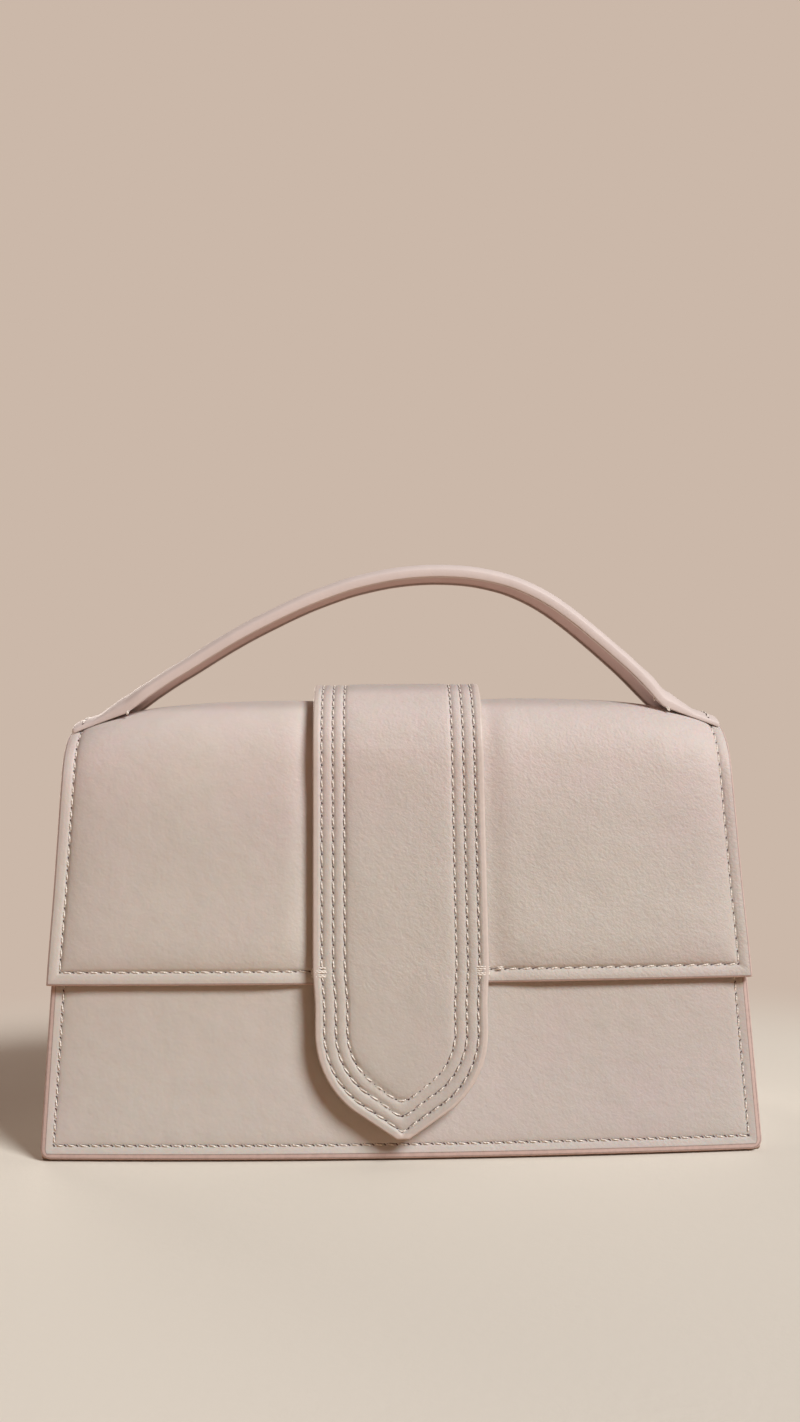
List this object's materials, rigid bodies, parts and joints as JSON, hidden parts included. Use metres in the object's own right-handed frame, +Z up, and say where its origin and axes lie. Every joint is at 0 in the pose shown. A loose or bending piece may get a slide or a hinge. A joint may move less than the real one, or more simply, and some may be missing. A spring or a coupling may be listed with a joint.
{
  "type": "top handle flap bag",
  "caption": "Structured leather top handle bag with a wide front flap, a stitched centre band ending in a pointed snap tab, folded gussets and an arched handle.",
  "frame": {"origin": "middle of the flat base that the bag stands on", "axes": "+Z up, -Y towards the front with the flap's tab, +X to the right seen from the front"},
  "size_m": [0.2398, 0.0948, 0.2019],
  "materials": {
    "body_leather": "smooth satin blush leather with a very fine grain",
    "band_leather": "smooth satin blush leather with pink painted edges",
    "lining_suede": "matt suede cloth",
    "stiff_board": "grey bonded board",
    "soft_filler": "pale soft filler sheet",
    "snap_metal": "satin nickel plate"
  },
  "bodies": {
    "body": {"front_panel": "body_leather", "front_board": "stiff_board", "front_lining": "lining_suede", "back_panel": "body_leather", "back_board": "stiff_board", "back_lining": "lining_suede", "gusset_left": "body_leather", "gusset_right": "body_leather", "gusset_lining_left": "lining_suede", "gusset_lining_right": "lining_suede", "base_panel": "body_leather", "base_board": "stiff_board", "base_lining": "lining_suede", "back_yoke": "body_leather", "band_back": "band_leather", "snap_socket": "snap_metal", "snap_socket_washer": "snap_metal"},
    "flap": {"flap_leather": "body_leather", "flap_lining": "lining_suede", "band_leather": "band_leather", "band_core": "soft_filler", "handle_end_left": "band_leather", "handle_end_right": "band_leather"},
    "tab": {"tab_leather": "band_leather", "tab_core": "soft_filler", "tab_lining": "body_leather", "snap_stud": "snap_metal", "snap_stud_washer": "snap_metal"},
    "handle": {"handle_cover": "band_leather", "handle_core": "soft_filler", "handle_lining": "body_leather"}
  },
  "joints": [
    {"name": "flap_hinge", "type": "hinge", "parent": "body", "child": "flap", "pos_m": [0, 0.02859, 0.12297], "axis": [-1, 0, 0], "range_deg": [0, 110]},
    {"name": "tab_bend", "type": "hinge", "parent": "flap", "child": "tab", "pos_m": [0, -0.04277, 0.05896], "axis": [-1, 0, 0], "range_deg": [0, 30]},
    {"name": "handle_swing", "type": "hinge", "parent": "flap", "child": "handle", "pos_m": [0, 0, 0.14979], "axis": [1, 0, 0], "range_deg": [-25, 25], "stiffness_Nm_per_rad": 0.08}
  ]
}
